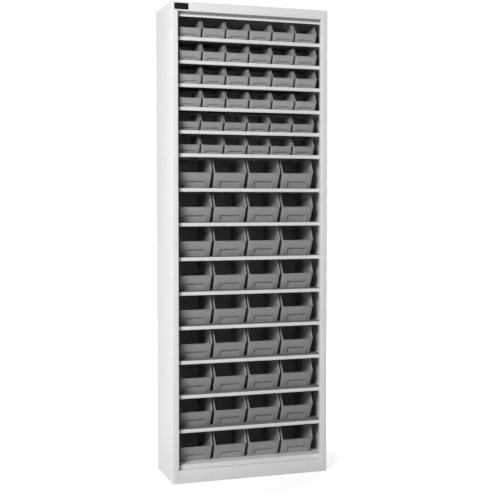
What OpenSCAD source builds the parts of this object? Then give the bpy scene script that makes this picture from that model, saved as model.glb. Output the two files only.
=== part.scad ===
// Parts bin cabinet: a folded-steel cabinet, open at the front, whose shelves carry
// rows of loose plastic picking bins. Small bins fill the upper rows, large bins the lower.
// Origin: centre of the footprint on the floor. +Z up, the open front faces -Y.

/* [Cabinet] */
// Overall width over the side panels
body_w = 685; // [675:5:760]
// Depth over the front and rear flanges
body_d = 280; // [280:5:340]
// Thickness of the sheet steel
sheet = 1; // [0.8:0.1:1.4]
// Width of the front post that is folded on each side panel
post_w = 27; // [20:1:30]
// How far the shelf lips stand behind the front of the posts
rebate = 24; // [18:1:30]
// Height of the kick rail at the floor
plinth_h = 54; // [40:1:60]
// Height of the front fascia of the top cover
fascia_h = 38; // [28:1:38]

/* [Rows] */
// Rows of large bins, counted up from the bottom
large_rows = 9; // [2:1:12]
// Large bins side by side in a row
large_columns = 4; // [2:1:4]
// Rows of small bins above the large ones
small_rows = 6; // [2:1:8]
// Small bins side by side in a row
small_columns = 6; // [2:1:6]
// Height from one shelf to the next in the large rows, a multiple of the slot pitch
large_pitch = 144; // [144:24:192]
// Height from one shelf to the next in the small rows, a multiple of the slot pitch
small_pitch = 96; // [96:24:144]
// Height of the fixed bottom shelf above the floor
bottom_shelf_z = 72; // [72:1:72]
// Height of the lowest loose shelf above the floor
first_shelf_z = 220; // [220:24:268]
// Height from the top of the last row to the top of the cabinet
head_h = 42; // [42:1:80]

/* [Shelves] */
// Height of the folded front lip of a shelf
lip_h = 15; // [10:0.5:16]
// Pitch of the slots in the shelf strips
slot_pitch = 24; // [24:1:24]
// Height of the head rail over the top row
head_rail_h = 10; // [8:1:14]
// Thickness of the shelf strips
strip_t = 1.2; // [1:0.1:1.5]

/* [Large bin] */
// Overall length, rear hook included
large_l = 230; // [200:1:230]
// Width over the rims
large_w = 146; // [120:1:148]
// Height over the rims
large_h = 125; // [100:1:125]
// Height of the low front wall
large_front_h = 66; // [50:1:80]
// How far the foot of the front wall stands back from its top
large_lean = 30; // [10:1:34]
// Depth over which the sides rise from the front wall to full height
large_rise = 32; // [20:1:70]
// Height of the recess in the foot of the front wall
large_recess_h = 31; // [15:1:36]
// Depth of that recess at its upper edge
large_recess_d = 8; // [3:0.5:10]
// Wall thickness
large_wall = 2.2; // [1.5:0.1:3]
// How far the bin's front edge stands behind the posts
large_setback = 47.8; // [47.8:0.1:60]

/* [Small bin] */
// Overall length, rear hook included
small_l = 160; // [120:1:180]
// Width over the rims
small_w = 100.5; // [80:0.5:101]
// Height over the rims
small_h = 74; // [60:1:76]
// Height of the low front wall
small_front_h = 38; // [30:1:50]
// How far the foot of the front wall stands back from its top
small_lean = 15; // [8:1:20]
// Depth over which the sides rise from the front wall to full height
small_rise = 30; // [20:1:50]
// Height of the recess in the foot of the front wall
small_recess_h = 14; // [8:1:20]
// Depth of that recess at its upper edge
small_recess_d = 6; // [2:0.5:7]
// Wall thickness
small_wall = 1.8; // [1.2:0.1:2.4]
// How far the front edges stand behind the posts, for each row from the lowest up
small_setbacks = [50, 50, 22, 22, 22, 22, 22, 22];
// How unevenly the small bins have been pushed in
small_stagger = 1.5; // [0:0.1:4]

/* [Hidden] */
eps = 0.01;
cut = 10;                                // how far a cutting shape runs past what it cuts
clearance = 0.2;             // air between a bin and what it stands on or meets
large_gap = 6;               // air between the rims of two large bins
small_gap = 2;               // air between the rims of two small bins

last_large_top = first_shelf_z + (large_rows - 1) * large_pitch;
last_small_top = last_large_top + small_rows * small_pitch;
body_h = last_small_top + head_h;

front_y = -body_d / 2;
rear_y = body_d / 2;
lip_y = front_y + rebate;                // face of the shelf lips, behind the posts
side_x = body_w / 2;
open_x = side_x - post_w;                // half the clear opening between the posts
back_face_y = rear_y - 2 * sheet;        // inner face of the back panel
joint_gap = 0.2;                         // air at the ends of the rails between the posts

closing_lip = 13;                        // flange that closes the post behind its return
rear_flange = 18;
floor_flange = 20;
plinth_turn_down = 12;
lip_overlap = 6;                         // how far the lowest lip reaches down behind the plinth
rail_end_x = open_x + 10;                // ends of the head rail, behind the posts

// Shelf strips and clips
strip_w = 22;
strip_y = 95;                            // distance of the strips from the centre line
strip_z0 = 60;
strip_z1 = body_h - 52;
slot_z0 = bottom_shelf_z + 4;            // centre of the lowest slot
slot_h = 8;
slot_w = 3;
clip_w = 16;
clip_t = 1.5;
clip_reach = 14;
clip_h = 22;
tongue_w = 2.4;
tongue_h = 6;

shelf_x = side_x - sheet - strip_t - clip_t - 1.3;
shelf_side_h = lip_h - 0.4;              // the side and rear flanges are lower than the front lip
shelf_back_gap = 1;
shelf_return = 10;
loose_shelves = [
    for (i = [0 : large_rows - 1]) first_shelf_z + i * large_pitch,
    for (i = [1 : small_rows - 1]) last_large_top + i * small_pitch
];

// Head rail and top cover
fascia_z = body_h - fascia_h;            // underside of the fascia
rail_z1 = fascia_z - 8;
rail_ledge_d = 6;                        // depth of the ledge along the top of the head rail
rail_web_top = fascia_z + 8;             // the web behind the ledge ends behind the cover's edge
cover_turn_up = 10;
cover_flange_h = 20;                     // flanges of the top cover inside the side walls
cover_flange_inset = 6;

// Door-ready holes that every body of this range carries
pivot_r = 3;
pivot_x = open_x - 7;
pivot_y = front_y + 12;
keeper_x = 51.5;
keeper_w = 16;
keeper_d = 4;

// Fasteners
rivet_r = 2;
rivet_hole_r = 2.05;
rivet_head_r = 4;
rivet_head_h = 0.8;
rivet_count = 9;
rivet_x = side_x - 9;
wall_hole_r = 4.5;
wall_hole_x = 280;
wall_hole_z = body_h - 28;
wall_plate_w = 70;
wall_plate_h = 44;
wall_plate_t = 2;

// Blank plate on the fascia
plate_w = 60;
plate_h = 26;
plate_t = rivet_head_h;
plate_x0 = -side_x + 11;
plate_z1 = body_h - 6;

// Bins
rim_out = 1.6;                           // how far the rim stands out from the wall
rim_h = 3.2;
rim_overlap = 0.5;                       // how far the shape cut from the rim passes the front wall
draft = 0.028;                           // lean of the side walls, per unit of height
back_draft = 4;                          // how far the back wall's foot stands in front of its top
recess_share = 0.57;                     // width of the front recess, as a share of the bin's
recess_foot_d = 1.5;                     // depth of the recess at its foot
hook_share = 0.72;                       // width of the rear hook, as a share of the bin's
hook_d = 7;
hook_drop = 15;
hook_t = 2.4;
foot_h = 1.2;                            // height of the runner under the bin
foot_w = 7;

steel_colour = [0.87, 0.88, 0.88];
galvanised_colour = [0.62, 0.64, 0.65];
bin_colour = [0.40, 0.41, 0.42];
plate_colour = [0.03, 0.03, 0.03];

LARGE_NODES = [
    for (r = [1 : large_rows], c = [1 : large_columns]) str("large_bin_", r, "_", c)
];
SMALL_NODES = [for (r = [1 : small_rows]) str("small_bin_row_", r)];

// A box from its lowest corner to its highest
module box(low, high) {
    translate(low) cube(high - low);
}

// ---- Cabinet body ----

function rivet_z(i) = 60 + i * (body_h - 120) / (rivet_count - 1);

// Runs a child at every back rivet of the right-hand side
module at_right_rivets() {
    for (i = [0 : rivet_count - 1]) translate([rivet_x, 0, rivet_z(i)]) children();
}

// A hole along Y through the rear flanges and the back panel
module hole_y(r) {
    rotate([90, 0, 0]) cylinder(h = 2 * cut, r = r, center = true, $fn = 48);
}

// Side wall with its post, closing lip and rear flange folded from one sheet
module right_side_solid() {
    difference() {
        union() {
            linear_extrude(body_h - sheet) polygon([
                [side_x, front_y], [side_x, rear_y], [side_x - rear_flange, rear_y],
                [side_x - rear_flange, rear_y - sheet], [side_x - sheet, rear_y - sheet],
                [side_x - sheet, front_y + sheet], [open_x + sheet, front_y + sheet],
                [open_x + sheet, lip_y - sheet], [open_x + closing_lip, lip_y - sheet],
                [open_x + closing_lip, lip_y], [open_x, lip_y], [open_x, front_y]
            ]);
            box([side_x - floor_flange, lip_y, 0], [side_x, rear_y, sheet]);
        }
        at_right_rivets() translate([0, rear_y, 0]) hole_y(rivet_hole_r);
    }
}

module left_side() {
    color(steel_colour) mirror([1, 0, 0]) right_side_solid();
}

module right_side() {
    color(steel_colour) right_side_solid();
}

module back_panel() {
    half_w = side_x - sheet - joint_gap;
    color(steel_colour) difference() {
        box([-half_w, back_face_y, sheet], [half_w, back_face_y + sheet, body_h - sheet]);
        for (s = [-1, 1]) {
            translate([s * wall_hole_x, back_face_y, wall_hole_z]) hole_y(wall_hole_r);
            for (i = [0 : rivet_count - 1])
                translate([s * rivet_x, back_face_y, rivet_z(i)]) hole_y(rivet_hole_r);
        }
    }
}

// Round hole for a door's pivot pin, one in each front corner
module pivot_holes(z) {
    for (s = [-1, 1])
        translate([s * pivot_x, pivot_y, z]) cylinder(h = cut, r = pivot_r, center = true, $fn = 48);
}

module top_cover() {
    half_w = open_x - joint_gap;
    flange_x = side_x - sheet - joint_gap;
    color(steel_colour) difference() {
        union() {
            box([-side_x, front_y, body_h - sheet], [side_x, rear_y, body_h]);
            box([-half_w, front_y, fascia_z], [half_w, front_y + sheet, body_h]);
            box([-half_w, front_y, fascia_z], [half_w, lip_y, fascia_z + sheet]);
            box([-half_w, lip_y - sheet, fascia_z], [half_w, lip_y, fascia_z + cover_turn_up]);
            for (s = [0, 1]) mirror([s, 0, 0])
                box([flange_x - sheet, lip_y + cover_flange_inset, body_h - cover_flange_h],
                    [flange_x, back_face_y - cover_flange_inset, body_h]);
        }
        pivot_holes(fascia_z);
    }
}

// Front lip, a ledge along its top, and a web that rises from the ledge behind the top cover
module head_rail() {
    y0 = lip_y + joint_gap;
    y1 = y0 + rail_ledge_d;
    color(steel_colour) union() {
        box([-rail_end_x, y0, rail_z1 - head_rail_h], [rail_end_x, y0 + sheet, rail_z1]);
        box([-rail_end_x, y0, rail_z1 - sheet], [rail_end_x, y1, rail_z1]);
        box([-rail_end_x, y1 - sheet, rail_z1 - sheet], [rail_end_x, y1, rail_web_top]);
    }
}

module plinth() {
    half_w = open_x - joint_gap;
    color(steel_colour) difference() {
        union() {
            box([-half_w, front_y, 0], [half_w, front_y + sheet, plinth_h]);
            box([-half_w, front_y, plinth_h - sheet], [half_w, lip_y, plinth_h]);
            box([-half_w, lip_y - sheet, plinth_h - plinth_turn_down],
                [half_w, lip_y, plinth_h]);
            box([-half_w, front_y, 0], [half_w, front_y + floor_flange, sheet]);
        }
        pivot_holes(plinth_h);
        for (s = [-1, 1])
            translate([s * keeper_x, pivot_y, plinth_h])
                cube([keeper_w, keeper_d, cut], center = true);
    }
}

// ---- Shelves ----

// A shelf whose upper face is at height z, with its front edge folded down by lip and the others by side_h
module shelf(z, lip = lip_h, side_h = shelf_side_h) {
    y0 = lip_y + joint_gap;
    y1 = back_face_y - shelf_back_gap;
    difference() {
        box([-shelf_x, y0, z - lip], [shelf_x, y1, z]);
        box([-shelf_x + sheet, y0 + sheet, z - lip + sheet],
            [shelf_x - sheet, y1 - sheet, z - sheet]);
        box([-shelf_x + sheet, y0 + shelf_return, z - lip - cut],
            [shelf_x - sheet, y1 - sheet, z - sheet - eps]);
        box([-shelf_x - cut, y0 + shelf_return, z - lip - cut],
            [shelf_x + cut, y1 + cut, z - side_h]);
    }
}

// Its lip reaches down behind the plinth's top flange, so that no slit is left between them
module bottom_shelf() {
    color(steel_colour) shelf(bottom_shelf_z, lip = bottom_shelf_z - plinth_h + lip_overlap);
}

module lower_shelves() {
    color(steel_colour)
        for (i = [0 : large_rows - 2]) shelf(loose_shelves[i]);
}

module middle_shelf() {
    color(steel_colour) shelf(loose_shelves[large_rows - 1]);
}

module upper_shelves() {
    color(steel_colour)
        for (i = [large_rows : len(loose_shelves) - 1]) shelf(loose_shelves[i]);
}

// One slotted strip: sx is -1 on the left wall, sy is -1 near the front
module shelf_strip(sx, sy) {
    x0 = side_x - sheet - strip_t;
    slots = floor((strip_z1 - slot_z0 - slot_h) / slot_pitch);
    color(galvanised_colour) mirror([sx < 0 ? 1 : 0, 0, 0]) mirror([0, sy < 0 ? 1 : 0, 0])
        difference() {
            box([x0, strip_y - strip_w / 2, strip_z0],
                [x0 + strip_t, strip_y + strip_w / 2, strip_z1]);
            for (i = [0 : slots])
                translate([x0 + strip_t / 2, strip_y, slot_z0 + i * slot_pitch])
                    cube([strip_t + cut, slot_w, slot_h], center = true);
        }
}

// A clip hooked in a slot, under the side flange of the shelf at height z
module shelf_clip(z) {
    x1 = side_x - sheet - strip_t;
    seat_z = z - shelf_side_h;
    box([x1 - clip_t, strip_y - clip_w / 2, seat_z - clip_h],
        [x1, strip_y + clip_w / 2, seat_z]);
    box([x1 - clip_reach, strip_y - clip_w / 2, seat_z - clip_t],
        [x1, strip_y + clip_w / 2, seat_z]);
    translate([x1 + strip_t / 2 - eps, strip_y, z - slot_pitch])
        cube([strip_t, tongue_w, tongue_h], center = true);
}

module shelf_clips() {
    color(galvanised_colour)
        for (z = loose_shelves, sx = [0, 1], sy = [0, 1])
            mirror([sx, 0, 0]) mirror([0, sy, 0]) shelf_clip(z);
}

// ---- Fasteners and plates ----

// Blind rivets through the back panel and the rear flanges, with a head on each face
module back_rivets() {
    color(galvanised_colour)
        for (s = [0, 1]) mirror([s, 0, 0]) at_right_rivets() rotate([-90, 0, 0])
            translate([0, 0, back_face_y]) {
                translate([0, 0, -rivet_head_h])
                    cylinder(h = 2 * rivet_head_h + 2 * sheet, r = rivet_r, $fn = 32);
                translate([0, 0, -rivet_head_h])
                    cylinder(h = rivet_head_h, r = rivet_r + 1, $fn = 32);
                translate([0, 0, 2 * sheet])
                    cylinder(h = rivet_head_h, r = rivet_head_r, $fn = 32);
            }
}

// Plates inside the back panel that take the bolts to a wall
module wall_plates() {
    color(galvanised_colour)
        for (s = [-1, 1]) translate([s * wall_hole_x, back_face_y, wall_hole_z]) difference() {
            box([-wall_plate_w / 2, -wall_plate_t, -wall_plate_h / 2],
                [wall_plate_w / 2, 0, wall_plate_h / 2]);
            hole_y(wall_hole_r);
        }
}

module fascia_plate() {
    color(plate_colour)
        box([plate_x0, front_y - plate_t, plate_z1 - plate_h],
            [plate_x0 + plate_w, front_y, plate_z1]);
}

// ---- Bins ----

function along(a, b, t) = a + (b - a) * t;
// Points of the curve from a to b that is drawn towards c, the first point left out
function bend(a, c, b, n) = [
    for (i = [1 : n]) along(along(a, c, i / n), along(c, b, i / n), i / n)
];

// Side view of a bin, as [y, z]: y runs back from the top of the front wall
function bin_side(l, h, front_h, lean, rise) = let (
    start = [0, front_h],
    shoulder = [rise - 0.05 * h, 0.9 * h],
    crest = [rise + 0.06 * h, h],
    body_l = l - hook_d
) concat(
    [[lean, 0], start],
    bend(start, along(start, shoulder, 0.5) + [3, -3], shoulder, 5),
    bend(shoulder, [rise, h], crest, 3),
    [[body_l, h], [body_l - back_draft, 0]]
);

// Extrudes an outline given as [y, z] across the bin's width
module across(width) {
    rotate([90, 0, 90]) linear_extrude(width, center = true) children();
}

// Extrudes an outline given as [x, z] along the bin's length
module lengthways(l) {
    translate([0, l + cut, 0]) rotate([90, 0, 0]) linear_extrude(l + 2 * cut) children();
}

// Front view of the drafted body: half is its half width at height h, without the rims
module draft_outline(half, h) {
    foot = half - draft * h;
    top = half + draft * cut;
    polygon([[-foot, 0], [foot, 0], [top, h + cut], [-top, h + cut]]);
}

// Picking bin with a low, leaning front wall. Its front top edge is at y = 0.
module bin(l, w, h, front_h, lean, rise, recess_h, recess_d, wall) {
    side = bin_side(l, h, front_h, lean, rise);
    half = w / 2 - rim_out;
    slope = lean / front_h;
    floor_z = wall + foot_h;
    body_l = l - hook_d;
    recess_w = recess_share * w;
    hook_half = hook_share * w / 2;
    foot_half = half - draft * h - foot_w;
    function front_at(z) = lean - slope * z;
    // Outline of the space in front of the recess, grown by t towards the inside of the bin
    function recess_side(t) = [
        [-1, -1], [front_at(-1) + recess_foot_d + t, -1],
        [front_at(recess_h + t) + recess_d + t, recess_h + t], [-1, recess_h + t]
    ];
    difference() {
        union() {
            difference() {
                intersection() {
                    across(2 * w) polygon(side);
                    lengthways(l) draft_outline(half, h);
                }
                // Recess in the foot of the front wall
                across(recess_w) polygon(recess_side(0));
                // Hollow under the floor, inside the runner
                box([-foot_half, front_at(0) + foot_w + recess_foot_d, -cut],
                    [foot_half, body_l - back_draft - foot_w, foot_h]);
            }
            // Rim along the top edges
            intersection() {
                across(w) difference() {
                    polygon(side);
                    translate([slope * rim_h - rim_overlap, -rim_h]) polygon(side);
                }
                lengthways(l) draft_outline(half + rim_out, h);
            }
            // Hook behind the back wall
            box([-hook_half, body_l - 1, h - hook_t], [hook_half, l, h]);
            box([-hook_half, l - hook_t, h - hook_drop], [hook_half, l, h]);
        }
        // Inside
        difference() {
            intersection() {
                across(2 * w) polygon([
                    [front_at(floor_z) + wall, floor_z], [front_at(h + cut) + wall, h + cut],
                    [body_l - wall, h + cut], [body_l - wall, h],
                    [body_l - back_draft - wall, floor_z]
                ]);
                lengthways(l) draft_outline(half - wall, h);
            }
            // Back of the recess
            across(recess_w + 2 * wall) polygon(recess_side(wall));
        }
    }
}

// Centre of column c, counted from 1, in a row of count bins
function column_x(c, count, pitch) = (c - (count + 1) / 2) * pitch;
function large_floor(r) = r == 1 ? bottom_shelf_z : loose_shelves[r - 2];
function small_floor(r) = last_large_top + (r - 1) * small_pitch;
// How much further one small bin of a row is pushed in than the row's own setback
function stagger(r, c) = small_stagger * sin(97 * r + 211 * c);

module large_bin(r, c) {
    color(bin_colour)
        translate([column_x(c, large_columns, large_w + large_gap),
                   front_y + large_setback, large_floor(r) + clearance])
            bin(large_l, large_w, large_h, large_front_h, large_lean, large_rise,
                large_recess_h, large_recess_d, large_wall);
}

module small_bin_row(r) {
    color(bin_colour) for (c = [1 : small_columns])
        translate([column_x(c, small_columns, small_w + small_gap),
                   front_y + small_setbacks[r - 1] + stagger(r, c), small_floor(r) + clearance])
            bin(small_l, small_w, small_h, small_front_h, small_lean, small_rise,
                small_recess_h, small_recess_d, small_wall);
}

// ---- Nodes ----

left_side();
right_side();
back_panel();
top_cover();
head_rail();
plinth();
bottom_shelf();
lower_shelves();
middle_shelf();
upper_shelves();
shelf_strip(-1, -1);  // front_left_strip
shelf_strip(1, -1);  // front_right_strip
shelf_strip(-1, 1);  // rear_left_strip
shelf_strip(1, 1);  // rear_right_strip
shelf_clips();
back_rivets();
wall_plates();
fascia_plate();
for (r = [1 : large_rows], c = [1 : large_columns])
    large_bin(r, c);
for (r = [1 : small_rows])
    small_bin_row(r);
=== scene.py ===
"""Looks of the parts bin cabinet: folded sheet steel, galvanised fittings and moulded picking bins."""

import math
from collections import namedtuple

import bmesh
import bpy
from mathutils import Matrix, Vector


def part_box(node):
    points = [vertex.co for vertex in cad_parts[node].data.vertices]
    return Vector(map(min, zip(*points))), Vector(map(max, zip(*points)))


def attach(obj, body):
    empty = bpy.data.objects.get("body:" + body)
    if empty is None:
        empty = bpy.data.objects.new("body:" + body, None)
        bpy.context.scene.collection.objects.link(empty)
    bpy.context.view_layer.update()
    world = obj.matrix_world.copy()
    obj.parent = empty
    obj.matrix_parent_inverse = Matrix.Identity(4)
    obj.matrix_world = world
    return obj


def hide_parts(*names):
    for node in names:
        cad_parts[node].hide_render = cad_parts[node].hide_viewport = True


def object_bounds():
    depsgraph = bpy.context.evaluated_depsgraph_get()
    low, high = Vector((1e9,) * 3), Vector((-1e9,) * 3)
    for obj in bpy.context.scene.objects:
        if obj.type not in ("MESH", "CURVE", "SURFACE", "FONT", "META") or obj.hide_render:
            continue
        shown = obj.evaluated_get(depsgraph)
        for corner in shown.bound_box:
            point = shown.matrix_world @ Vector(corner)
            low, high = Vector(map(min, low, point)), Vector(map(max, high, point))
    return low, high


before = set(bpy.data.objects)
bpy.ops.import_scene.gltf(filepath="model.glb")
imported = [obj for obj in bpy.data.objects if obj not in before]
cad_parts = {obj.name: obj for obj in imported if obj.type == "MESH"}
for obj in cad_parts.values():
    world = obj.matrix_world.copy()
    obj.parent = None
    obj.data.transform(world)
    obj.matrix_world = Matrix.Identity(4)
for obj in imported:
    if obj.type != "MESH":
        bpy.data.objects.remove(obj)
CAD_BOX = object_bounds()

MM = 0.001

# ---- Sizes read from the frame ----

SIDE_LOW, SIDE_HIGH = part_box("right_side")
OPEN_X, FRONT_Y = SIDE_LOW.x, SIDE_LOW.y          # inner edge of the post, face of the posts
SIDE_X, REAR_Y = SIDE_HIGH.x, SIDE_HIGH.y
TOP_Z = CAD_BOX[1].z
LIP_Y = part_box("plinth")[1].y                     # face of the shelf lips, behind the posts
PLINTH_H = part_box("plinth")[1].z
FASCIA_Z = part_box("top_cover")[0].z

# ---- Sizes of the looks ----

SHEET = 1.0 * MM
FOLD_R = 1.8 * MM                                 # outer radius of a fold in the sheet
EDGE_R = 0.25 * MM                                # broken edge of cut sheet
JOINT_GAP = 0.2 * MM                              # air between the fascia and the posts
CLOSING_LIP = 13 * MM
REAR_FLANGE = 18 * MM
FLOOR_FLANGE = 20 * MM
HEAD_RAIL_H = 10 * MM
PLINTH_TURN_DOWN = 12 * MM
COVER_TURN_UP = 10 * MM
SHELF_LIP_H = 15 * MM
SHELF_SIDE_H = 14.6 * MM
SHELF_RETURN = 10 * MM
PIVOT_R = 3 * MM
PIVOT_X = OPEN_X - 7 * MM
PIVOT_Y = FRONT_Y + 12 * MM
KEEPER_X = 51.5 * MM                              # middle of a keeper slot, as far back as the pivots
KEEPER_W, KEEPER_D = 16 * MM, 4 * MM
WALL_HOLE_X, WALL_HOLE_Z = 280 * MM, TOP_Z - 28 * MM
WALL_HOLE_R = 4.5 * MM
LOOSE_SHELVES = (("lower_shelves", 8), ("middle_shelf", 1), ("upper_shelves", 5))  # node, shelves in it

# lean: how far the front wall's foot lies behind its top. rise: how far back the sides reach their full height.
BinSize = namedtuple("BinSize", "length width height front_height lean rise recess_height recess_depth wall")
LARGE_BIN = BinSize(230 * MM, 146 * MM, 125 * MM, 66 * MM, 30 * MM, 32 * MM, 31 * MM, 8 * MM, 2.2 * MM)
SMALL_BIN = BinSize(160 * MM, 100.5 * MM, 74 * MM, 38 * MM, 15 * MM, 30 * MM, 14 * MM, 6 * MM, 1.8 * MM)
LARGE_ROWS, LARGE_COLUMNS = 9, 4
SMALL_ROWS, SMALL_COLUMNS = 6, 6

SMOOTH_ANGLE = math.radians(35)                   # edges that turn by more than this stay sharp
BROKEN_ANGLE = math.radians(60)                   # edges of the sheet that turn by more than this are broken
WELD = 0.01 * MM                                  # points nearer than this become one
LEAST_RUN = 0.001 * MM                            # keeps a division from meeting zero
CUTTER_REACH = 10 * SHEET                         # how far a cutter stands out on each side of its place


# ---- Materials ----

PIECE_SHIFT = 37.0                                # how far the noise differs from piece to piece
MIX_A, MIX_B, MIX_RESULT = 6, 7, 2                # colour sockets of a Mix node
# Tone of the dark upper face of the loose trays.
DARK_TOP_TONE = 0.14
SHELF_TONE, SHELF_WARMTH = 0.60, -0.02


class Paint:
    """A node material under construction, with short ways to add and join its nodes."""

    def __init__(self, name):
        self.material = bpy.data.materials.new(name)
        self.material.use_nodes = True
        self.tree = self.material.node_tree
        self.shader = self.tree.nodes["Principled BSDF"]
        self.coordinates = self.node("ShaderNodeTexCoord").outputs["Object"]

    def node(self, kind, inputs=None, **settings):
        """Adds a node. inputs maps a socket's name or number to a value or to another node's output."""
        made = self.tree.nodes.new(kind)
        for key, value in settings.items():
            setattr(made, key, value)
        for key, value in (inputs or {}).items():
            self.put(made.inputs[key], value)
        return made

    def put(self, socket, value):
        """Sets the socket to a value, or joins it to another node's output."""
        if isinstance(value, bpy.types.NodeSocket):
            self.tree.links.new(value, socket)
        else:
            socket.default_value = value

    def calc(self, operation, a, b):
        """What the Math node of that name gives for a and b."""
        return self.node("ShaderNodeMath", {0: a, 1: b}, operation=operation).outputs[0]

    def axes(self):
        """Object coordinates as outputs named X, Y and Z."""
        return self.node("ShaderNodeSeparateXYZ", {"Vector": self.coordinates}).outputs

    def stretched(self, scale):
        """Object coordinates scaled along X, Y and Z."""
        return self.node("ShaderNodeMapping", {"Vector": self.coordinates, "Scale": scale}).outputs["Vector"]

    def noise(self, scale, detail=2.0, roughness=0.5, at=None):
        """Noise from 0 to 1 whose grains are about 1 / scale metres. It differs from piece to piece."""
        random = self.node("ShaderNodeObjectInfo").outputs["Random"]
        shift = self.calc("MULTIPLY", random, PIECE_SHIFT)
        inputs = {"Vector": at or self.coordinates, "W": shift, "Scale": scale,
                  "Detail": detail, "Roughness": roughness}
        return self.node("ShaderNodeTexNoise", inputs, noise_dimensions="4D").outputs["Fac"]

    def spread(self, value, low, high, start=0.0, end=1.0):
        """value, from start to end, taken to low to high."""
        inputs = {"Value": value, "From Min": start, "From Max": end, "To Min": low, "To Max": high}
        return self.node("ShaderNodeMapRange", inputs).outputs["Result"]

    def mix(self, share, a, b):
        """Colour a at share 0 and b at share 1."""
        mixer = self.node("ShaderNodeMix", data_type="RGBA")
        self.put(mixer.inputs["Factor"], share)
        self.put(mixer.inputs[MIX_A], a)
        self.put(mixer.inputs[MIX_B], b)
        return mixer.outputs[MIX_RESULT]

    def bump(self, height, depth, under=None):
        """A normal that follows the height, up to depth, on top of the normal under it."""
        inputs = {"Height": height, "Distance": depth, "Strength": 1.0}
        if under:
            inputs["Normal"] = under
        return self.node("ShaderNodeBump", inputs).outputs["Normal"]

    def set(self, **values):
        """Sets or joins the shader's sockets; an underscore stands for a space."""
        for key, value in values.items():
            self.put(self.shader.inputs[key.replace("_", " ")], value)
        return self.material


def grey(level, warm=0.0):
    """A near-neutral colour, with a touch more red and less blue where warm is above 0."""
    return (level * (1 + warm), level, level * (1 - warm), 1.0)


def powder_layers(p, level, warm=0.0):
    """Light powder coat: fine orange peel, faint clouds in its tone and gloss, and dust near the floor."""
    clouds = p.spread(p.noise(scale=7.0, detail=3.0), 0.0, 1.0, start=0.3, end=0.7)
    tone = p.mix(clouds, grey(level * 0.972, warm), grey(level * 1.012, warm))
    low = p.spread(p.axes()["Z"], 1.0, 0.0, start=0.0, end=0.12)
    smudges = p.spread(p.noise(scale=28.0, detail=4.0, roughness=0.6), 0.0, 0.16, start=0.45, end=0.75)
    dust = p.calc("MULTIPLY", low, smudges)
    colour = p.mix(dust, tone, grey(level * 0.62, warm=0.03))
    rough = p.spread(p.noise(scale=60.0, detail=3.0), 0.40, 0.52, start=0.3, end=0.7)
    waves = p.bump(p.noise(scale=3.0, detail=1.0), depth=0.6 * MM)
    peel = p.bump(p.noise(scale=650.0, detail=1.5), depth=0.05 * MM, under=waves)
    return colour, rough, peel


def powder_coat(name, level, warm=0.0):
    """Powder coat on all faces."""
    p = Paint(name)
    colour, rough, normal = powder_layers(p, level, warm)
    return p.set(Base_Color=colour, Roughness=rough, Normal=normal)


def dark_topped_tray(name, paint_level, warm):
    """Powder coat, with a dark, grained tone on the upper face behind the front fold."""
    p = Paint(name)
    colour, rough, normal = powder_layers(p, paint_level, warm)
    place = p.axes()
    on_top = p.calc("GREATER_THAN", place["Z"], -0.3 * SHEET)
    behind_fold = p.calc("GREATER_THAN", place["Y"], LIP_Y + FOLD_R)
    # coat marks the upper face behind the front fold, which is given a dark tone.
    coat = p.calc("MULTIPLY", on_top, behind_fold)
    wear = p.noise(scale=35.0, detail=3.0)
    level = p.spread(wear, DARK_TOP_TONE * 0.85, DARK_TOP_TONE * 1.2, start=0.3, end=0.7)
    dark = p.mix(level, grey(0.0), grey(1.0))
    rough_with_dark_top = p.calc("ADD", rough, coat)
    grain = p.bump(p.noise(scale=900.0, detail=2.0), depth=0.12 * MM, under=normal)
    return p.set(Base_Color=p.mix(coat, colour, dark), Roughness=rough_with_dark_top, Normal=grain)


def moulded_plastic(name, level):
    """Grey polypropylene: fine grain, flow clouds, a little dust and short pale scuffs along Y."""
    p = Paint(name)
    flow = p.spread(p.noise(scale=22.0, detail=3.0, roughness=0.55), 0.0, 1.0, start=0.3, end=0.7)
    tone = p.mix(flow, grey(level * 0.94, warm=-0.03), grey(level * 1.05, warm=-0.025))
    streaks = p.noise(scale=1.0, detail=3.0, roughness=0.6, at=p.stretched((420.0, 26.0, 420.0)))
    patches = p.spread(p.noise(scale=14.0, detail=2.0), 0.0, 1.0, start=0.5, end=0.7)
    thin = p.spread(streaks, 0.0, 0.35, start=0.66, end=0.78)
    scuffs = p.calc("MULTIPLY", thin, patches)
    colour = p.mix(scuffs, tone, grey(level * 1.7))
    rough = p.spread(p.noise(scale=90.0, detail=3.0), 0.44, 0.58, start=0.3, end=0.7)
    sink = p.bump(p.noise(scale=16.0, detail=1.0), depth=0.25 * MM)
    grain = p.bump(p.noise(scale=1600.0, detail=1.0), depth=0.03 * MM, under=sink)
    return p.set(Base_Color=colour, Roughness=rough, Normal=grain)


def galvanised(name):
    """Zinc-coated steel with a spangle of dull crystals of uneven tone and gloss."""
    p = Paint(name)
    crystals = p.node("ShaderNodeTexVoronoi", {"Vector": p.coordinates, "Scale": 170.0})
    level = p.node("ShaderNodeSeparateColor", {"Color": crystals.outputs["Color"]}).outputs[0]
    colour = p.mix(level, grey(0.50), grey(0.70))
    rough = p.spread(level, 0.34, 0.56)
    wear = p.bump(p.noise(scale=300.0, detail=3.0), depth=0.04 * MM)
    return p.set(Base_Color=colour, Roughness=rough, Normal=wear, Metallic=0.9)


def black_enamel(name):
    """Blank black plate: satin, with faint dust and fine rubbing marks."""
    p = Paint(name)
    dust = p.spread(p.noise(scale=240.0, detail=4.0, roughness=0.65), 0.0, 0.10, start=0.5, end=0.8)
    colour = p.mix(dust, grey(0.004), grey(0.03, warm=0.01))
    marks = p.noise(scale=1.0, detail=3.0, roughness=0.6, at=p.stretched((900.0, 60.0, 60.0)))
    rough = p.spread(marks, 0.24, 0.36, start=0.3, end=0.7)
    normal = p.bump(p.noise(scale=700.0, detail=2.0), depth=0.02 * MM)
    return p.set(Base_Color=colour, Roughness=rough, Normal=normal, Specular_IOR_Level=0.15)


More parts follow.
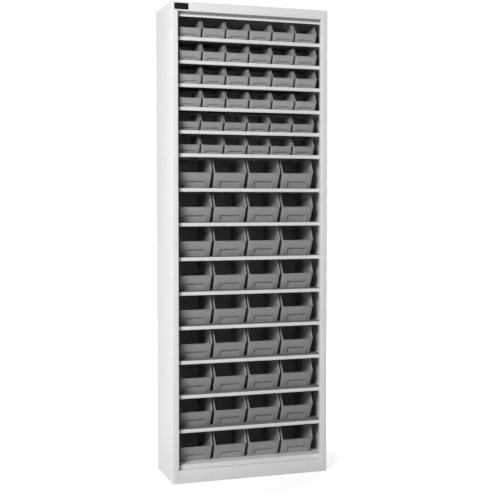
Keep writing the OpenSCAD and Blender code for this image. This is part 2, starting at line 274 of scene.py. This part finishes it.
BODY_PAINT = powder_coat("cabinet_powder_coat", level=0.63)
SHELF_PAINT = powder_coat("shelf_powder_coat", SHELF_TONE, SHELF_WARMTH)
TRAY_PAINT = dark_topped_tray("shelf_dark_upper_face", SHELF_TONE, SHELF_WARMTH)
PLASTIC = moulded_plastic("bin_polypropylene", level=0.27)
ZINC = galvanised("galvanised_steel")
BLACK = black_enamel("black_plate_enamel")


# ---- Mesh tools ----

def add_object(name, data):
    """A new object of the mesh, lamp or camera, in the scene."""
    made = bpy.data.objects.new(name, data)
    bpy.context.scene.collection.objects.link(made)
    return made


def smooth(mesh):
    """Shades the mesh smooth, but for its sharp edges."""
    mesh.shade_smooth()
    mesh.set_sharp_from_angle(angle=SMOOTH_ANGLE)


def to_object(name, bm, material):
    """Makes the piece of bm's mesh."""
    mesh = bpy.data.meshes.new(name)
    bm.to_mesh(mesh)
    bm.free()
    smooth(mesh)
    mesh.materials.append(material)
    return add_object(name, mesh)


def mesh_alone(piece):
    """The piece's mesh, for others to share. The piece itself goes."""
    mesh = piece.data
    bpy.data.objects.remove(piece)
    return mesh


def settle(piece):
    """Applies the piece's modifiers to its mesh."""
    ready = piece.evaluated_get(bpy.context.evaluated_depsgraph_get())
    mesh = bpy.data.meshes.new_from_object(ready)
    piece.modifiers.clear()
    piece.data = mesh
    smooth(mesh)


def thicken(piece):
    """Gives a surface the thickness of the sheet, on the inner side of its faces, with broken edges."""
    solid = piece.modifiers.new("sheet", "SOLIDIFY")
    solid.thickness = SHEET
    solid.offset = -1
    solid.use_even_offset = True
    edges = piece.modifiers.new("edges", "BEVEL")
    edges.width = EDGE_R
    edges.segments = 1
    edges.limit_method = "ANGLE"
    edges.angle_limit = BROKEN_ANGLE
    settle(piece)
    return piece


def sheet_piece(name, bm, material):
    """The piece of bm's surface, as thick as the sheet."""
    return thicken(to_object(name, bm, material))


def folded(path, radius=FOLD_R, steps=4):
    """The points of a path in a plane, with each of its corners turned into an arc of that radius."""
    corners = [Vector(p) for p in path]
    points = [corners[0]]
    for before, corner, after in zip(corners, corners[1:], corners[2:]):
        u, v = (before - corner).normalized(), (after - corner).normalized()
        half = u.angle(v) / 2
        centre = corner + (u + v).normalized() * radius / math.sin(half)
        start = (corner + u * radius / math.tan(half) - centre).normalized()
        end = (corner + v * radius / math.tan(half) - centre).normalized()
        points += [centre + start.slerp(end, i / steps) * radius for i in range(steps + 1)]
    return points + [corners[-1]]


def strip(bm, path, low, high, place):
    """Adds faces along the path from low to high. place(a, b, along) gives a point in space."""
    rows = [[bm.verts.new(place(a, b, w)) for w in (low, high)] for a, b in path]
    for one, two in zip(rows, rows[1:]):
        bm.faces.new((one[0], one[1], two[1], two[0]))


def along_x(a, b, w):
    """For a path in Y and Z."""
    return (w, a, b)


def along_z(a, b, w):
    """For a path in X and Y."""
    return (a, b, w)


def bridge(bm, rings):
    """Joins each closed ring of points to the next one with faces."""
    faces = []
    for one, two in zip(rings, rings[1:]):
        for i in range(len(one)):
            j = (i + 1) % len(one)
            faces.append(bm.faces.new((one[i], one[j], two[j], two[i])))
    return faces


def cut_holes(piece, cutters):
    """Takes each cutter's shape out of the piece, and then deletes the cutters."""
    for cutter in cutters:
        taken = piece.modifiers.new("hole", "BOOLEAN")
        taken.operation = "DIFFERENCE"
        taken.solver = "EXACT"
        taken.object = cutter
    settle(piece)
    for cutter in cutters:
        bpy.data.objects.remove(cutter)


def round_cutter(x, y, z, radius, turn=None):
    """A round bar along Z, or along the axis to which turn takes Z."""
    bm = bmesh.new()
    matrix = Matrix.Translation((x, y, z)) @ (turn or Matrix.Identity(4))
    bmesh.ops.create_cone(bm, cap_ends=True, segments=40, radius1=radius, radius2=radius,
                          depth=2 * CUTTER_REACH, matrix=matrix)
    return to_object("cutter", bm, BODY_PAINT)


def slot_cutter(x, y, z, width, depth, steps=8):
    """A bar along Z whose section is a slot along X with rounded ends."""
    outline = []
    for side in (1, -1):
        middle = side * (width - depth) / 2
        for i in range(steps + 1):
            angle = math.radians(-90 * side + i * 180 / steps)
            outline.append((middle + math.cos(angle) * depth / 2, math.sin(angle) * depth / 2))
    bm = bmesh.new()
    place = Vector((x, y, z))
    rings = [[bm.verts.new(Vector((a, b, c)) + place) for a, b in outline]
             for c in (-CUTTER_REACH, CUTTER_REACH)]
    bm.faces.new(list(reversed(rings[0])))
    bm.faces.new(rings[1])
    bridge(bm, rings)
    return to_object("cutter", bm, BODY_PAINT)


def ride_for(piece, body, node):
    """The piece moves with the body and stands for the node, whose CAD part it hides."""
    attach(piece, body)
    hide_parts(node)


# ---- Cabinet body ----

def side_panel(node, side):
    """Side wall with its post, closing lip, rear flange and floor flange. side is 1 on the right."""
    path = [(SIDE_X - REAR_FLANGE, REAR_Y), (SIDE_X, REAR_Y), (SIDE_X, FRONT_Y), (OPEN_X, FRONT_Y),
            (OPEN_X, LIP_Y), (OPEN_X + CLOSING_LIP, LIP_Y)]
    bm = bmesh.new()
    strip(bm, folded(path), 0.0, SIDE_HIGH.z, along_z)
    foot = [(SIDE_X - FLOOR_FLANGE, SHEET), (SIDE_X - SHEET, SHEET)]
    floor_rows = [[bm.verts.new((x, y, z)) for y in (LIP_Y + FOLD_R, REAR_Y - FOLD_R)] for x, z in foot]
    bm.faces.new((floor_rows[0][0], floor_rows[1][0], floor_rows[1][1], floor_rows[0][1]))
    if side < 0:
        bmesh.ops.scale(bm, vec=(-1, 1, 1), verts=bm.verts)
        bmesh.ops.reverse_faces(bm, faces=bm.faces)
    ride_for(sheet_piece(node + "_sheet", bm, BODY_PAINT), "cabinet", node)


def pivot_cutters(z):
    """Cutters for the two pivot holes in the flange at height z."""
    return [round_cutter(side * PIVOT_X, PIVOT_Y, z, PIVOT_R) for side in (-1, 1)]


def top_cover():
    """Top plate, whose front edge is folded down to the fascia, its return and its turned-up edge."""
    half = OPEN_X - JOINT_GAP
    path = [(REAR_Y, TOP_Z), (FRONT_Y, TOP_Z), (FRONT_Y, FASCIA_Z), (LIP_Y, FASCIA_Z),
            (LIP_Y, FASCIA_Z + COVER_TURN_UP)]
    bm = bmesh.new()
    strip(bm, folded(path), half, -half, along_x)
    for low, high in ((half, SIDE_X), (-SIDE_X, -half)):
        strip(bm, [(REAR_Y, TOP_Z), (FRONT_Y + FOLD_R, TOP_Z), (FRONT_Y, TOP_Z)], high, low, along_x)
    bmesh.ops.remove_doubles(bm, verts=bm.verts, dist=WELD)
    piece = sheet_piece("top_cover_sheet", bm, BODY_PAINT)
    cut_holes(piece, pivot_cutters(FASCIA_Z))
    ride_for(piece, "cabinet", "top_cover")


def plinth():
    """Kick rail with its floor flange, and a top flange with pivot holes and keeper slots."""
    low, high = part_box("plinth")
    path = [(FRONT_Y + FLOOR_FLANGE, 0.0), (FRONT_Y, 0.0), (FRONT_Y, PLINTH_H), (LIP_Y, PLINTH_H),
            (LIP_Y, PLINTH_H - PLINTH_TURN_DOWN)]
    bm = bmesh.new()
    strip(bm, folded(path), low.x, high.x, along_x)
    piece = sheet_piece("plinth_sheet", bm, BODY_PAINT)
    keepers = [slot_cutter(side * KEEPER_X, PIVOT_Y, PLINTH_H, KEEPER_W, KEEPER_D) for side in (-1, 1)]
    cut_holes(piece, pivot_cutters(PLINTH_H) + keepers)
    ride_for(piece, "cabinet", "plinth")


def back_panel():
    """Flat panel with the two holes for the wall bolts."""
    low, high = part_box("back_panel")
    bm = bmesh.new()
    strip(bm, [(high.y, low.z), (high.y, high.z)], high.x, low.x, along_x)
    piece = sheet_piece("back_panel_sheet", bm, BODY_PAINT)
    to_y = Matrix.Rotation(math.radians(90), 4, "X")
    cut_holes(piece, [round_cutter(side * WALL_HOLE_X, high.y, WALL_HOLE_Z, WALL_HOLE_R, to_y)
                      for side in (-1, 1)])
    ride_for(piece, "cabinet", "back_panel")


def head_rail():
    """Front lip, a ledge along its top and a web that rises from the ledge behind the top cover."""
    low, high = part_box("head_rail")
    ledge_z = low.z + HEAD_RAIL_H
    path = [(high.y - SHEET, high.z), (high.y - SHEET, ledge_z), (low.y, ledge_z), (low.y, low.z)]
    bm = bmesh.new()
    strip(bm, folded(path), high.x, low.x, along_x)
    ride_for(sheet_piece("head_rail_sheet", bm, SHELF_PAINT), "cabinet", "head_rail")


def shelf_mesh(low, high, lip_h):
    """Shelf tray under z = 0: rear flange, plate, front lip with its return, and side flanges."""
    half = high.x
    path = folded([(high.y, -SHELF_SIDE_H), (high.y, 0.0), (low.y, 0.0), (low.y, -lip_h),
                   (low.y + SHELF_RETURN, -lip_h)])
    bm = bmesh.new()
    inner = half - FOLD_R
    strip(bm, path, inner, -inner, along_x)
    rear_edge, front_edge = high.y - FOLD_R, low.y + FOLD_R
    side_path = folded([(0.0, 0.0), (half, 0.0), (half, -SHELF_SIDE_H)])[1:]
    for side in (-1, 1):
        rows = [[bm.verts.new((side * x, y, z)) for y in (front_edge, rear_edge)] for x, z in side_path]
        for one, two in zip(rows, rows[1:]):
            ring = (one[0], two[0], two[1], one[1])
            bm.faces.new(ring if side > 0 else tuple(reversed(ring)))
    bmesh.ops.remove_doubles(bm, verts=bm.verts, dist=WELD)
    return bm


def shelves():
    """The bottom shelf, whose lip reaches down behind the plinth, and the loose trays. These share a mesh."""
    low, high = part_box("bottom_shelf")
    lowest = sheet_piece("shelf_tray_0", shelf_mesh(low, high, high.z - low.z), SHELF_PAINT)
    lowest.location.z = high.z
    ride_for(lowest, "cabinet", "bottom_shelf")
    loose = mesh_alone(sheet_piece("loose_tray_source", shelf_mesh(low, high, SHELF_LIP_H), TRAY_PAINT))
    count = 0
    for node, in_node in LOOSE_SHELVES:
        node_low, node_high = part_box(node)
        lowest_top = node_low.z + SHELF_LIP_H
        step = (node_high.z - lowest_top) / max(1, in_node - 1)
        for i in range(in_node):
            count += 1
            tray = add_object(f"shelf_tray_{count}", loose)
            tray.location.z = lowest_top + i * step
            ride_for(tray, "cabinet", node)


def lathe(bm, profile, place, turn, segments=24):
    """Turns a profile of (radius, height), which ends on the axis, about Z, and then sets it in place."""
    matrix = Matrix.Translation(place) @ turn
    rings = []
    for radius, height in profile:
        if radius == 0:
            rings.append([bm.verts.new(matrix @ Vector((0, 0, height)))])
            continue
        angles = [2 * math.pi * i / segments for i in range(segments)]
        rings.append([bm.verts.new(matrix @ Vector((radius * math.cos(t), radius * math.sin(t), height)))
                      for t in angles])
    for one, two in zip(rings, rings[1:]):
        for i in range(segments):
            j = (i + 1) % segments
            corners = [one[i % len(one)], one[j % len(one)], two[j % len(two)], two[i % len(two)]]
            bm.faces.new(list(dict.fromkeys(corners)))


def back_rivets():
    """Blind rivets with a domed, dimpled head behind the panel and a small upset head inside."""
    low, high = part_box("back_rivets")
    count = 9
    head_r, head_h, inner_r, shank_r = 4.0 * MM, 0.8 * MM, 3.0 * MM, 2.0 * MM
    ease = 0.3 * MM
    rim_y, dome_r, dome_y = 0.25 * MM, head_r - 0.5 * MM, 0.6 * MM
    flat_r, dimple_r, dimple_floor_r, dimple_d = head_r * 0.55, 1.1 * MM, 0.9 * MM, 0.5 * MM
    outside, inside = high.y - head_h, low.y + head_h
    profile = [(0, low.y), (inner_r - ease, low.y), (inner_r, low.y + ease), (inner_r, inside),
               (shank_r, inside), (shank_r, outside), (head_r, outside), (head_r, outside + rim_y),
               (dome_r, outside + dome_y), (flat_r, high.y),
               (dimple_r, high.y), (dimple_floor_r, high.y - dimple_d), (0, high.y - dimple_d)]
    bm = bmesh.new()
    turn = Matrix.Rotation(math.radians(-90), 4, "X")
    step = (high.z - low.z - 2 * head_r) / (count - 1)
    for side in (-1, 1):
        for i in range(count):
            place = Vector((side * (high.x - head_r), 0, low.z + head_r + i * step))
            lathe(bm, profile, place, turn)
    bmesh.ops.recalc_face_normals(bm, faces=bm.faces)
    ride_for(to_object("back_rivet_heads", bm, ZINC), "cabinet", "back_rivets")


def fascia_plate():
    """Blank plate with rounded corners and a softly broken front edge."""
    low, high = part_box("fascia_plate")
    corner, ease, steps = 2.5 * MM, 0.25 * MM, 6
    middle = (low + high) / 2
    half_w, half_h = (high.x - low.x) / 2, (high.z - low.z) / 2

    def ring(shrink, y):
        """The plate's outline at depth y, pulled in by shrink."""
        points = []
        for sx, sz, start in ((1, 1, 0), (-1, 1, 90), (-1, -1, 180), (1, -1, 270)):
            for i in range(steps + 1):
                t = math.radians(start + 90 * i / steps)
                x = sx * (half_w - corner) + (corner - shrink) * math.cos(t)
                z = sz * (half_h - corner) + (corner - shrink) * math.sin(t)
                points.append(bm.verts.new((middle.x + x, y, middle.z + z)))
        return points

    bm = bmesh.new()
    half_way = ease * 0.3
    rings = [ring(0, high.y), ring(0, low.y + ease), ring(half_way, low.y + half_way), ring(ease, low.y)]
    bridge(bm, rings)
    bm.faces.new(rings[0])
    bm.faces.new(rings[-1])
    bmesh.ops.recalc_face_normals(bm, faces=bm.faces)
    ride_for(to_object("fascia_plate_blank", bm, BLACK), "cabinet", "fascia_plate")


# ---- Bins ----

RIM_OUT = 1.6 * MM          # how far the rim stands out from the wall
RIM_FRONT = 1.2 * MM        # the same at the front wall
RIM_H = 3.2 * MM
RIM_R = 0.6 * MM            # rounding of the rim's edges
DRAFT = 0.028               # lean of the side walls, per unit of height
BACK_DRAFT = 4 * MM         # how far the back wall's foot stands in front of its top
CORNER_R = 4 * MM           # rounding of the bin's upright corners
MIN_CORNER_R = 0.4 * MM
CORNER_STEPS = 5            # stations in a quarter turn
HOOK_D, HOOK_DROP, HOOK_T = 7 * MM, 15 * MM, 2.4 * MM
HOOK_SHARE = 0.72           # width of the hook, as a share of the bin's
HOOK_R, HOOK_EASE = 0.8 * MM, 0.5 * MM
HOOK_ROOT = 0.2 * MM        # how far behind the rear wall's outer face the hook starts, within the rim
FOOT_R = 1.5 * MM
INNER_R = 3 * MM            # rounding between the floor and the walls inside
RUNNER_H, RUNNER_W = 1.2 * MM, 7 * MM
RECESS_SHARE = 0.57         # width of the recess, as a share of the bin's
RECESS_RAMP = 1.2 * MM      # width of the slope at the recess's edge
RECESS_MARGIN = 8 * MM      # distance of the stations beside the recess
RECESS_FOOT_D = 1.5 * MM    # depth of the recess at the bin's foot
HIGH_SHARE = 0.72           # height of the loop between recess and rim, as a share of the wall's
MAX_DROP = 2.4              # how much deeper the rim gets on a steep edge, at most
SHOULDER_AHEAD = 0.05       # distance from the rise to the top of a side's slope, per unit of height
SHOULDER_UP = 0.9           # height of that place, as a share of the bin's
CREST_BEHIND = 0.06         # distance from the rise to where the full height starts, per unit of height
SLOPE_BOW = 3 * MM          # how far the slope is drawn back and down out of the straight line
BACK_SHARE = 0.2            # how far from the middle the rear wall's stations lie, as a share of the width
SIDE_SHARES = (0.0, 0.015, 0.03, 0.045, 0.06, 0.075, 0.09, 0.11, 0.13, 0.15, 0.18, 0.25, 0.4, 0.6, 0.8, 1.0)
DIAGONAL = 1 - math.sqrt(0.5)   # how far a quarter turn's middle lies in from both sides, per unit of radius


def curve(a, c, b, t):
    """The point at share t of the curve from a to b that is drawn towards c."""
    return a.lerp(c, t).lerp(c.lerp(b, t), t)


def rise_points(size):
    """The top edge of a side wall, seen from the side, as (depth, height) from the front wall back."""
    start = Vector((0.0, size.front_height))
    shoulder = Vector((size.rise - SHOULDER_AHEAD * size.height, SHOULDER_UP * size.height))
    crest = Vector((size.rise + CREST_BEHIND * size.height, size.height))
    bow = start.lerp(shoulder, 0.5) + Vector((1, -1)) * SLOPE_BOW
    lower_steps, upper_steps = 10, 6
    lower = [curve(start, bow, shoulder, i / lower_steps) for i in range(lower_steps + 1)]
    corner = Vector((size.rise, size.height))
    upper = [curve(shoulder, corner, crest, i / upper_steps) for i in range(1, upper_steps + 1)]
    return lower + upper


def height_at(edge, y):
    """Height of the top edge at depth y."""
    if y <= edge[0].x:
        return edge[0].y
    for a, b in zip(edge, edge[1:]):
        if y <= b.x:
            return a.y + (b.y - a.y) * (y - a.x) / (b.x - a.x)
    return edge[-1].y


def bin_stations(size):
    """Places round the bin, counter-clockwise seen from above, as (kind, side, value)."""
    recess = RECESS_SHARE * size.width / 2
    front = [-recess - RECESS_MARGIN, -recess, -recess + RECESS_RAMP, -recess / 3,
             recess / 3, recess - RECESS_RAMP, recess, recess + RECESS_MARGIN]
    arc = [90 * i / CORNER_STEPS for i in range(1, CORNER_STEPS)]
    stations = [("front", 0, x) for x in front]
    stations += [("front_end", 1, 0)] + [("front_corner", 1, a) for a in arc]
    stations += [("side", 1, u) for u in SIDE_SHARES]
    stations += [("back_corner", 1, a) for a in arc] + [("back_end", 1, 0)]
    stations += [("back", 0, x) for x in (size.width * BACK_SHARE, -size.width * BACK_SHARE)]
    stations += [("back_end", -1, 0)] + [("back_corner", -1, a) for a in reversed(arc)]
    stations += [("side", -1, u) for u in reversed(SIDE_SHARES)]
    stations += [("front_corner", -1, a) for a in reversed(arc)] + [("front_end", -1, 0)]
    return stations


class BinWalls:
    """Where a station of the bin lies at each height and offset."""

    def __init__(self, size):
        self.size = size
        self.edge = rise_points(size)
        self.half_top = size.width / 2 - RIM_OUT
        self.body_length = size.length - HOOK_D

    def plan(self, station, z, offset):
        """x and y of a station at height z, moved out by offset."""
        size = self.size
        half = self.half_top - DRAFT * (size.height - z)
        front = size.lean * (1 - z / size.front_height) + RIM_FRONT
        back = self.body_length - RIM_OUT - BACK_DRAFT * (1 - z / size.height)
        kind, side, value = station
        reach = max(CORNER_R + offset, MIN_CORNER_R)
        inset = reach - offset
        if kind == "front":
            return value, front - offset
        if kind == "back":
            return value, back + offset
        if kind == "front_end":
            return side * (half - inset), front - offset
        if kind == "back_end":
            return side * (half - inset), back + offset
        if kind == "side":
            return side * (half + offset), front + inset + value * (back - front - 2 * inset)
        turn = math.radians(value)
        if kind == "front_corner":
            return (side * (half - inset + reach * math.sin(turn)),
                    front + inset - reach * math.cos(turn))
        return side * (half - inset + reach * math.cos(turn)), back - inset + reach * math.sin(turn)

    def top(self, station, halvings=40):
        """Height of the rim at a station, where its wall line meets the edge curve."""
        low, high = self.size.front_height, self.size.height
        for _ in range(halvings):
            middle = (low + high) / 2
            y = self.plan(station, middle, 0)[1] - RIM_FRONT
            if height_at(self.edge, y) > middle:
                low = middle
            else:
                high = middle
        return high


def bin_mesh(size):
    """One picking bin as a closed shell: foot, walls, rim, inside and floor, with a hook behind."""
    walls = BinWalls(size)
    stations = bin_stations(size)
    tops = [walls.top(s) for s in stations]
    recess = RECESS_SHARE * size.width / 2
    count = len(stations)

    drops = []                  # height of the rim's band at each station
    for i in range(count):
        before, after = stations[i - 1], stations[(i + 1) % count]
        run = math.dist(walls.plan(before, tops[i - 1], 0), walls.plan(after, tops[(i + 1) % count], 0))
        steep = abs(tops[(i + 1) % count] - tops[i - 1]) / max(run, LEAST_RUN)
        drops.append(RIM_H * min(math.hypot(1, steep), MAX_DROP))

    bm = bmesh.new()

    def ring(level, offset, recess_top):
        """One loop of points. level(i) gives the height at station i."""
        points = []
        for i, station in enumerate(stations):
            z = level(i)
            x, y = walls.plan(station, z, offset)
            if station[0] == "front" and abs(x) < recess - RECESS_RAMP / 2 and z < recess_top:
                y += RECESS_FOOT_D + (size.recess_depth - RECESS_FOOT_D) * z / recess_top
            points.append(bm.verts.new((x, y, z)))
        return points

    floor_z = size.wall + RUNNER_H
    outer_top = size.recess_height - RECESS_RAMP / 2
    inner_top = size.recess_height + size.wall - RECESS_RAMP / 2
    front_span = size.front_height - RIM_H - FOOT_R
    inner_span = size.front_height - RIM_R - floor_z - INNER_R
    outer_shares = [(size.recess_height - RECESS_RAMP - FOOT_R) / front_span,
                    (size.recess_height - FOOT_R) / front_span, HIGH_SHARE]
    inner_shares = [HIGH_SHARE, (size.recess_height + size.wall - floor_z - INNER_R) / inner_span,
                    (size.recess_height + size.wall - RECESS_RAMP - floor_z - INNER_R) / inner_span]

    def outer_level(share):
        return lambda i: FOOT_R + share * (tops[i] - drops[i] - FOOT_R)

    def inner_level(share):
        bottom = floor_z + INNER_R
        return lambda i: bottom + share * (tops[i] - RIM_R - bottom)

    def below_top(depth):
        return lambda i: tops[i] - depth

    def below_rim(up):
        return lambda i: tops[i] - drops[i] + up

    def flat(z):
        return lambda i: z

    loops = [(flat(RUNNER_H), -RUNNER_W), (flat(0.0), -RUNNER_W), (flat(0.0), -FOOT_R),
             (flat(FOOT_R * DIAGONAL), -FOOT_R * DIAGONAL), (flat(FOOT_R), 0.0)]
    loops += [(outer_level(s), 0.0) for s in outer_shares]
    loops += [(below_rim(0.0), 0.0), (below_rim(0.0), RIM_FRONT - RIM_R), (below_rim(RIM_R), RIM_FRONT),
              (below_top(RIM_R), RIM_FRONT), (below_top(RIM_R * DIAGONAL), RIM_FRONT - RIM_R * DIAGONAL),
              (below_top(0.0), RIM_FRONT - RIM_R), (below_top(0.0), -size.wall + RIM_R),
              (below_top(RIM_R * DIAGONAL), -size.wall + RIM_R * DIAGONAL)]
    outer_count = len(loops)
    loops += [(below_top(RIM_R), -size.wall)]
    loops += [(inner_level(s), -size.wall) for s in inner_shares]
    loops += [(flat(floor_z + INNER_R), -size.wall),
              (flat(floor_z + INNER_R * DIAGONAL), -size.wall - INNER_R * DIAGONAL),
              (flat(floor_z), -size.wall - INNER_R)]
    rings = [ring(level, offset, outer_top if k < outer_count else inner_top)
             for k, (level, offset) in enumerate(loops)]
    bridge(bm, rings)
    bm.faces.new(list(reversed(rings[0])))
    bm.faces.new(rings[-1])
    add_hook(bm, size, walls.body_length)
    return bm


def add_hook(bm, size, body_length):
    """Hook across the back: a flat top that turns down, with rounded edges."""
    inner = body_length - RIM_OUT + HOOK_ROOT
    top, back = size.height, size.length
    outline = folded([(inner, top - HOOK_T), (inner, top), (back, top), (back, top - HOOK_DROP),
                      (back - HOOK_T, top - HOOK_DROP), (back - HOOK_T, top - HOOK_T), (inner, top - HOOK_T)],
                     HOOK_R, steps=3)[:-1]
    half = HOOK_SHARE * size.width / 2
    levels = [(-half, HOOK_EASE), (-half + HOOK_EASE, 0.0), (half - HOOK_EASE, 0.0), (half, HOOK_EASE)]
    middle = Vector((back - HOOK_T / 2, top - HOOK_T / 2))
    rings = []
    for x, shrink in levels:
        rings.append([])
        for point in outline:
            y, z = point + (middle - point).normalized() * shrink
            rings[-1].append(bm.verts.new((x, y, z)))
    faces = [bm.faces.new(rings[0]), bm.faces.new(list(reversed(rings[-1])))]
    faces += bridge(bm, rings)
    bmesh.ops.recalc_face_normals(bm, faces=faces)


def column_box(node, column, columns):
    """Lowest corner and highest corner of one bin of a row that is a single CAD node."""
    low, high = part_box(node)
    pitch = (high.x - low.x) / columns
    left = low.x + (column - 1) * pitch
    points = [v.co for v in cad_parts[node].data.vertices if left <= v.co.x <= left + pitch]
    return (Vector([min(p[k] for p in points) for k in range(3)]),
            Vector([max(p[k] for p in points) for k in range(3)]))


def place_bin(name, mesh, low, high, node):
    """Sets a bin where its CAD solid stands, on the body that is named as its node."""
    piece = add_object(name, mesh)
    piece.location = ((low.x + high.x) / 2, low.y, low.z)
    ride_for(piece, node, node)


def bins():
    """All bins. Those of one size share one mesh."""
    large = mesh_alone(to_object("large_bin_source", bin_mesh(LARGE_BIN), PLASTIC))
    small = mesh_alone(to_object("small_bin_source", bin_mesh(SMALL_BIN), PLASTIC))
    for row in range(1, LARGE_ROWS + 1):
        for column in range(1, LARGE_COLUMNS + 1):
            node = f"large_bin_{row}_{column}"
            place_bin(f"large_shell_{row}_{column}", large, *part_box(node), node)
    for row in range(1, SMALL_ROWS + 1):
        node = f"small_bin_row_{row}"
        for column in range(1, SMALL_COLUMNS + 1):
            low, high = column_box(node, column, SMALL_COLUMNS)
            place_bin(f"small_shell_{row}_{column}", small, low, high, node)


for panel, hand in (("left_side", -1), ("right_side", 1)):
    side_panel(panel, hand)
top_cover()
plinth()
back_panel()
head_rail()
shelves()
back_rivets()
fascia_plate()
bins()

for fitting in ("front_left_strip", "front_right_strip", "rear_left_strip", "rear_right_strip",
                "shelf_clips", "wall_plates"):
    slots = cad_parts[fitting].data.materials
    slots.clear()
    slots.append(ZINC)


# ---- Floor, light and camera ----

FLOOR_HALF = 30.0                                 # half the floor's side
FLOOR_TONE, FLOOR_MOTTLE = 0.40, 0.005
FLOOR_GLOW, FAR_FLOOR_GLOW = 0.68, 1.0            # glow of the floor near the object, lower so that its shadow shows, which also paints shade round the base, and away from it
NEAR_FLOOR, FAR_FLOOR = 0.40, 0.80                # distances from the origin over which the glow grows and the painted shade fades out
SEEN_RAYS = ("Is Camera Ray", "Is Glossy Ray", "Is Transmission Ray")


def pale_floor():
    """White floor that keeps the object's shadow. Its glow is only for the rays that show it. The glow is lower
    near the object, which paints shade on the floor round the base.
    """
    bm = bmesh.new()
    bmesh.ops.create_grid(bm, x_segments=1, y_segments=1, size=FLOOR_HALF)
    p = Paint("pale_floor")
    rays = p.node("ShaderNodeLightPath").outputs
    seen = rays[SEEN_RAYS[0]]
    for kind in SEEN_RAYS[1:]:
        seen = p.calc("MAXIMUM", seen, rays[kind])
    distance = p.node("ShaderNodeVectorMath", {0: p.coordinates}, operation="LENGTH").outputs["Value"]
    # Painted shade: less glow near the object darkens the floor round the base, whether it is in shadow or not.
    glow_less_painted_shade = p.spread(distance, FLOOR_GLOW, FAR_FLOOR_GLOW, start=NEAR_FLOOR, end=FAR_FLOOR)
    glow = p.calc("MULTIPLY", seen, glow_less_painted_shade)
    mottle = p.noise(scale=0.8, detail=2.0)
    fine = p.spread(mottle, FLOOR_TONE * (1 - FLOOR_MOTTLE), FLOOR_TONE * (1 + FLOOR_MOTTLE))
    p.set(Roughness=0.9, Specular_IOR_Level=0.0, Base_Color=p.mix(fine, grey(0.0), grey(1.0)),
          Emission_Color=grey(1.0), Emission_Strength=glow)
    floor = to_object("floor", bm, p.material)


def softbox(name, place, target, width, height, energy):
    """A rectangular lamp that faces the target and doesn't show in the picture."""
    lamp = bpy.data.lights.new(name, "AREA")
    lamp.shape = "RECTANGLE"
    lamp.size = width
    lamp.size_y = height
    lamp.energy = energy
    holder = add_object(name, lamp)
    holder.location = place
    holder.rotation_euler = (Vector(target) - Vector(place)).to_track_quat("-Z", "Y").to_euler()
    holder.visible_camera = False


def white_world(level, overhead):
    """World that is white to the camera. As light it goes from level at the horizon to overhead."""
    world = bpy.data.worlds.new("studio")
    world.use_nodes = True
    nodes, links = world.node_tree.nodes, world.node_tree.links
    nodes["Background"].inputs["Color"].default_value = grey(1.0)
    direction = nodes.new("ShaderNodeSeparateXYZ")
    links.new(nodes.new("ShaderNodeTexCoord").outputs["Generated"], direction.inputs[0])
    rise = nodes.new("ShaderNodeMapRange")
    rise.inputs["To Min"].default_value = level
    rise.inputs["To Max"].default_value = overhead
    links.new(direction.outputs["Z"], rise.inputs["Value"])
    links.new(rise.outputs["Result"], nodes["Background"].inputs["Strength"])
    bright = nodes.new("ShaderNodeBackground")
    bright.inputs["Color"].default_value = grey(1.0)
    bright.inputs["Strength"].default_value = 1.0
    rays = nodes.new("ShaderNodeLightPath").outputs
    seen = rays[SEEN_RAYS[0]]
    for kind in SEEN_RAYS[1:]:
        either = nodes.new("ShaderNodeMath")
        either.operation = "MAXIMUM"
        links.new(seen, either.inputs[0])
        links.new(rays[kind], either.inputs[1])
        seen = either.outputs[0]
    mix = nodes.new("ShaderNodeMixShader")
    links.new(seen, mix.inputs[0])
    links.new(nodes["Background"].outputs[0], mix.inputs[1])
    links.new(bright.outputs[0], mix.inputs[2])
    links.new(mix.outputs[0], nodes["World Output"].inputs["Surface"])
    bpy.context.scene.world = world


CAMERA_PLACE = (-1.3296, -4.2094, 1.1695)
CAMERA_TURN = math.radians(18.573)                # to the right of straight ahead
CAMERA_DIP = math.radians(2.126)
SENSOR_WIDTH, LENS = 36.0, 73.167
SHIFT_X, SHIFT_Y = -0.02, -0.02


def fitted_camera():
    """The camera that was fitted to the photograph."""
    data = bpy.data.cameras.new("camera")
    data.sensor_width = SENSOR_WIDTH
    data.lens = LENS
    data.shift_x = SHIFT_X
    data.shift_y = SHIFT_Y
    camera = add_object("camera", data)
    camera.location = CAMERA_PLACE
    camera.rotation_euler = (math.pi / 2 - CAMERA_DIP, 0.0, -CAMERA_TURN)
    bpy.context.scene.camera = camera


pale_floor()
white_world(level=0.15, overhead=0.20)
softbox("key", place=(-3.0, -3.85, 3.15), target=(0.0, 0.0, 1.1), width=1.5, height=1.5, energy=276.0)
softbox("left_wall", place=(-3.3, 0.45, 1.0), target=(-0.35, 0.0, 1.0), width=1.1, height=1.8, energy=28.0)
softbox("left_window", place=(-2.2, -1.9, 0.9), target=(0.0, -0.1, 0.9), width=0.5, height=1.6,
        energy=14.0)
softbox("behind", place=(2.6, 3.2, 3.0), target=(0.0, 0.1, 1.1), width=2.0, height=2.0, energy=110.0)
fitted_camera()
bpy.context.scene.view_settings.view_transform = "Standard"
